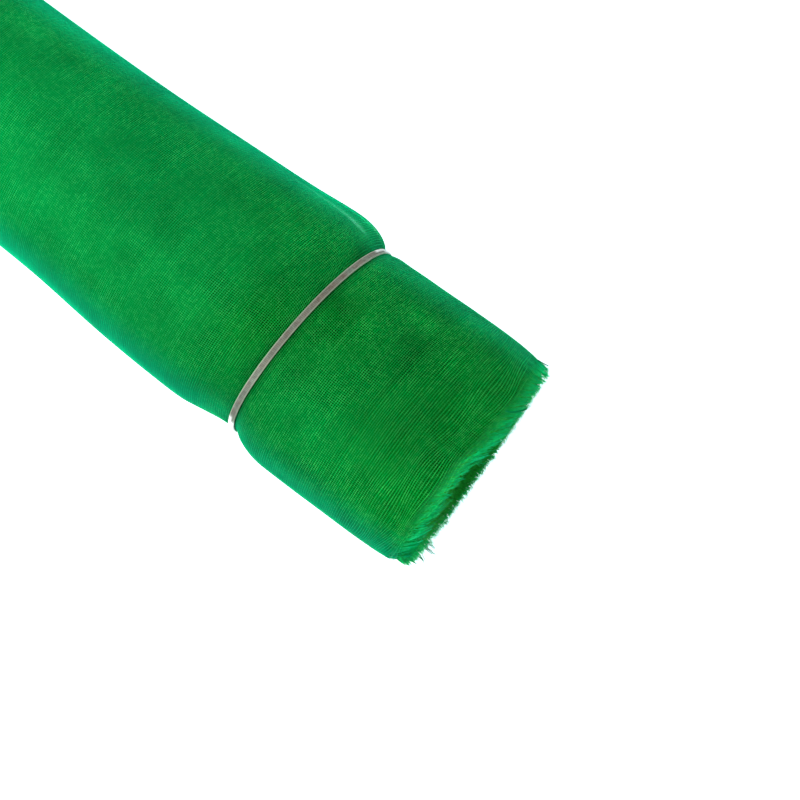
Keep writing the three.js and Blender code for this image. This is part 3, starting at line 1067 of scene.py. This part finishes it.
def turn_share(turn):
    """The size of a turn, counted from the eye, as a share of the outermost one's."""
    return EYE_SIZE + (1 - EYE_SIZE) * turn / INNER_TURNS


def inner_edge(share, turn, angle):
    """Where the edge of an inner turn lies at the frayed end: further out on its lower side."""
    low_side = share * smoothstep(np.sin(np.radians(angle)), LOW_OUT_SINE, -LOW_OUT_SINE)
    dish = END_DISH * (1 - share) ** 2
    return FRAY_END + INNER_OUT + LOW_OUT * low_side - dish + edge_waves(turn, angle, INNER_WAVE)


def inner_turns(material):
    """All the turns inside, one spiral sheet from the eye outwards."""
    turn = np.linspace(0, INNER_TURNS, int(INNER_TURNS * TURN_POINTS) + 1)
    around = turn % 1
    share = turn_share(turn)
    angle = angle_of(around)
    rows = np.broadcast_to(INNER_STATIONS[:, None], (len(INNER_STATIONS), len(turn))).copy()
    plain_waves = edge_waves(turn + PLAIN_WAVE_TURN, angle, PLAIN_WAVE)
    rows[0] = PLAIN_END + PLAIN_INSET + END_DISH * (1 - share) ** 2 + plain_waves
    rows[-1] = inner_edge(share, turn, angle)
    tone = np.ones(rows.shape)
    # Painted light on the cut edges at the plain end
    tone[0] = CUT_PAINTED_LIGHT
    depth = np.full((len(rows), 1), INNER_DEPTH)
    depth[1] += CUT_FLARE
    points, _ = wound(rows, around[None], share[None], outward=-depth, **NO_EDGE)
    side = painted_side_light_at(rows, angle[None]) * (turn > INNER_TURNS - OUTERMOST_TURNS)
    obj = mesh_object("inner_turns", *sheet_mesh(points), material, "mesh", tone=tone, side=side)
    length = np.broadcast_to((turn / INNER_TURNS)[None], rows.shape).ravel()
    span = FRAY_END - PLAIN_END + INNER_MAP_EXTRA
    set_map(obj, "OFBake", (rows.ravel() - PLAIN_END + INNER_MAP_BEFORE) / span, length)
    return obj


def inner_fringe(material):
    """Short thread ends all over the frayed end, from the eye to the outer turns."""
    turn, spots = [], []
    for number in range(INNER_FIRST, INNER_TURNS):
        count = max(INNER_FEWEST, int(turn_share(number) * PERIMETER / INNER_SPACING))
        place = (np.arange(count) + rng.uniform(0, 1, count)) / count
        turn.append(number + place)
        spots.append(place)
    turn, spots = np.concatenate(turn), np.concatenate(spots)
    count = len(turn)
    share = turn_share(turn)
    angle = angle_of(spots)
    tuft = tufts(count, INNER_FRAY["tuft"])
    uneven = INNER_LONG * tuft["long"] + rng.normal(0, INNER_LONG_RANDOM, count)
    reach = np.clip(INNER_LENGTH + uneven, *INNER_LENGTHS)[:, None] * INNER_STEPS
    along = inner_edge(share, turn, angle)[:, None] - INNER_ROOT + reach
    lines, normals = wound(along, spots[:, None], share[:, None], outward=-INNER_DEPTH, **NO_EDGE)
    lines = tufted(lines, normals, reach, 0.0, tuft, INNER_FRAY)
    low_side = smoothstep(np.sin(np.radians(angle)), *LOW_SINES)
    rim = smoothstep(share, *RIM_SHARES)
    # Painted light low at the rim, painted shade at the roots and painted side light
    tone = np.clip(1 + LOW_PAINTED_LIGHT * low_side * rim + rng.normal(0, INNER_RANDOM, count), *INNER_TONE_LIMITS)
    tone = tone[:, None] * INNER_PAINTED_SHADING
    near_side = painted_side_light_at(PLAIN_END, angle) * (angle > SIDE_MIDDLE)
    side = np.maximum(LOW_SIDE * low_side, RIM_SIDE * rim * np.maximum(low_side, near_side))
    side = np.broadcast_to(side[:, None], tone.shape)
    made = thread_mesh(lines, normals, INNER_RADII)
    return thread_object("inner_fringe", made, material, "threads", tone=tone, side=side)


def outer_turn_fringe(number):
    """Lines, directions, tones and sides of the longer thread ends of one turn under the outermost one."""
    count = int(PERIMETER / OUTER_SPACING)
    spots = (np.arange(count) + rng.uniform(*OUTER_PLACES, count)) / count
    angle = angle_of(spots)
    edge = cloth_end(angle) - OUTER_INSIDE + edge_waves(number, angle, UNDER_WAVE)
    tuft = tufts(count, OUTER_FRAY["tuft"])
    uneven = OUTER_TIP_TUFT * tuft["long"] + rng.normal(0, OUTER_TIP_RANDOM, count)
    tips = np.maximum(tips_end(angle) - OUTER_SHORT + uneven, edge + TIP_LEAST)
    reach = (tips - edge)[:, None] * np.linspace(0, 1, len(OUTER_PAINTED_SHADING))
    combed = np.clip(spots[:, None] + swept(reach, angle, tuft["aside"]), 0, 1)
    depth = UNDER_DEPTH + OUTER_STEP * (number - 1)
    lines, normals = wound(edge[:, None] + reach, combed, outward=-depth, lifted=0.0)
    lines = tufted(lines, normals, reach, tips_lean(angle), tuft, OUTER_FRAY)
    # Painted shade at the roots, painted light at the tips, and painted side light
    tone = np.clip(OUTER_TONE + rng.normal(0, OUTER_RANDOM, count), *OUTER_TONE_LIMITS)
    side = np.maximum(OUTER_SIDES, painted_side_light_at(PLAIN_END, angle)[:, None])
    return lines, normals, tone[:, None] * OUTER_PAINTED_SHADING, side


def outer_fringe(material):
    """The thread ends of the turns just under the outermost one."""
    turns_of = [outer_turn_fringe(number) for number in range(1, OUTER_TURNS + 1)]
    lines, normals, tone, side = (np.concatenate(parts) for parts in zip(*turns_of))
    made = thread_mesh(lines, normals, OUTER_RADII)
    return thread_object("outer_fringe", made, material, "threads", tone=tone, side=side)


def loose_threads(material):
    """Single threads that stand out of the frayed end, a few to a row of the table."""
    middle, past, flare, sway = np.repeat(LOOSE_ENDS, LOOSE_EACH, axis=0).T
    count = len(middle)
    angle = middle + rng.normal(0, LOOSE_SPREAD, count)
    length = tips_end(angle) - cloth_end(angle) + past * rng.uniform(LOOSE_SHORTEST, 1.0, count)
    reach = length[:, None] * np.linspace(0, 1, LOOSE_POINTS)
    combed = around_of(angle)[:, None] + swept(reach, angle, np.zeros(count))
    lines, normals = wound(cloth_end(angle)[:, None] + reach, combed, outward=-ROUND_DEPTH)
    lines = frayed(lines, normals, reach, flare, sway + rng.normal(0, LOOSE_SWAY, count), LOOSE_DROOP)
    made = thread_mesh(lines, normals, LOOSE_RADIUS)
    # A darker tone, with the painted side light full
    tone = np.full((count, LOOSE_POINTS), LOOSE_TONE)
    return thread_object("loose_threads", made, material, "threads", tone=tone, side=np.ones_like(tone))


def band_profile():
    """Places along the roll and outward of the band's section, with ribs on its outer face."""
    half = BAND_WIDTH / 2
    flat = half - BAND_CORNER
    place = np.linspace(-flat, flat, RIB_POINTS * BAND_RIBS + 1)
    ribs = RIB_HEIGHT * np.cos(2 * math.pi * BAND_RIBS * (place + flat) / (2 * flat))
    top = BAND_GAP + BAND_THICKNESS
    face = np.stack([place, top - RIB_HEIGHT - ribs], axis=-1)
    turn = np.radians(CORNER_ANGLES)
    shoulder = top - 2 * RIB_HEIGHT - BAND_CORNER
    right = np.stack([flat + BAND_CORNER * np.cos(turn), shoulder + BAND_CORNER * np.sin(turn)], axis=-1)
    foot = np.array([[half, BAND_GAP + BAND_FOOT], [half - BAND_FOOT, BAND_GAP]])
    left = np.concatenate([right, foot])[::-1] * [-1, 1]
    return np.concatenate([face, right, foot, left])


def band_looks(angle):
    """The band's painted light, and how white its painted highlights on the selvedge and all over are, by
    the angle.
    """
    far = BAND_FAR_PAINTED_LIGHT * smoothstep(angle, *BAND_FAR_ANGLES)
    tone = 1 + far + BAND_PATCH_PAINTED_LIGHT * bump(angle, *BAND_LIGHT_PATCH)
    off_top = np.abs(angle - SIDE_MIDDLE)
    low = 1 - BAND_LOW_FADE * smoothstep(off_top, *BAND_LOW_ANGLES)
    wrap_from = np.where(angle > SIDE_MIDDLE, *WRAP_FROM)
    side = low * smoothstep(off_top, *BAND_SIDE_ANGLES)
    return dict(tone=tone, side=side, wrap_highlight=low * smoothstep(off_top - wrap_from, 0, WRAP_OVER))


def elastic_band(material):
    """The elastic band, a closed loop in its seat."""
    profile = band_profile()
    count = len(profile)
    spots = np.linspace(0, 1, BAND_STEPS, endpoint=False)
    seat, normals = wound(np.full(BAND_STEPS, SEAT_HALF), spots, lifted=0.0)
    points = seat[:, None] + profile[None, :, 1:] * normals[:, None]
    points[..., 0] += profile[None, :, 0] - SEAT_HALF
    points[..., 0] += BAND_WAVE * np.sin(2 * math.pi * BAND_WAVES * spots + BAND_WAVE_START)[:, None]
    points[..., 2] = np.maximum(points[..., 2], BAND_FLOOR)
    index = np.arange(BAND_STEPS * count).reshape(BAND_STEPS, count)
    after = np.roll(index, -1, axis=0)
    faces = np.stack([index, np.roll(index, -1, axis=1), np.roll(after, -1, axis=1), after], axis=-1)
    made = points.reshape(-1, 3), [faces.reshape(-1, 4)]
    looks = {title: np.repeat(values, count) for title, values in band_looks(angle_of(spots)).items()}
    obj = mesh_object("elastic_band", *made, material, "elastic", **looks)
    set_map(obj, "Weave", np.repeat(spots * PERIMETER * MM, count), np.tile(profile[:, 0] * MM, BAND_STEPS))
    return obj


def white_floor():
    """A white floor that glows a little, as a lit studio sweep does."""
    corners = [(-1, -1), (1, -1), (1, 1), (-1, 1)]
    mesh = bpy.data.meshes.new("floor")
    mesh.from_pydata([(x * FLOOR_HALF, y * FLOOR_HALF, 0) for x, y in corners], [], [(0, 1, 2, 3)])
    n = Nodes("floor_white", Roughness=0.9, Specular_IOR_Level=0.1, Base_Color=FLOOR_COLOUR,
              Emission_Color=FLOOR_GLOW, Emission_Strength=FLOOR_STRENGTH)
    mesh.materials.append(n.material)
    floor = placed("floor", mesh)


def white_sky():
    """A world that looks white and gives only a little light."""
    scene = bpy.context.scene
    scene.world = bpy.data.worlds.new("studio")
    scene.world.use_nodes = True
    tree = scene.world.node_tree
    sky = tree.nodes["Background"]
    sky.inputs["Color"].default_value = (1, 1, 1, 1)
    seen = tree.nodes.new("ShaderNodeMapRange")
    seen.inputs["To Min"].default_value = SKY_STRENGTH
    tree.links.new(tree.nodes.new("ShaderNodeLightPath").outputs["Is Camera Ray"], seen.inputs["Value"])
    tree.links.new(seen.outputs["Result"], sky.inputs["Strength"])


def area_light(name, place, aim, size, watts, colour):
    data = bpy.data.lights.new(name, "AREA")
    data.shape = "DISK"
    data.size = size
    data.energy = watts
    data.color = colour
    light = placed(name, data)
    light.location = place
    light.rotation_euler = (Vector(aim) - Vector(place)).to_track_quat("-Z", "Y").to_euler()


def camera():
    data = bpy.data.cameras.new("camera")
    data.lens = LENS
    data.sensor_width = SENSOR
    obj = placed("camera", data)
    a, e = math.radians(CAMERA_AZIMUTH), math.radians(CAMERA_ELEVATION)
    back = Vector((math.sin(a) * math.cos(e), -math.cos(a) * math.cos(e), math.sin(e)))
    obj.location = Vector(CAMERA_AIM) * MM + back * CAMERA_DISTANCE
    obj.rotation_euler = (-back).to_track_quat("-Z", "Y").to_euler()
    bpy.context.scene.camera = obj


def studio():
    """White floor and sky, soft light from the near side and from above, and the camera."""
    white_floor()
    white_sky()
    area_light("key", **KEY_LIGHT)
    area_light("overhead", **TOP_LIGHT)
    bpy.context.scene.view_settings.view_transform = "Standard"
    camera()


studio()
THREAD, FRAY = thread_material(), fray_material()
weave = [round_threads(THREAD), along_threads(THREAD)]
cloth = second_turn(cloth_material())
turns = inner_turns(turns_material())
fringe = [outer_fringe(FRAY), inner_fringe(FRAY), loose_threads(FRAY)]
band = elastic_band(elastic_material())

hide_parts("mesh_roll")
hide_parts("mesh_roll")
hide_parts("band")
for piece in fringe:
    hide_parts("end_fray")

bpy.context.view_layer.update()
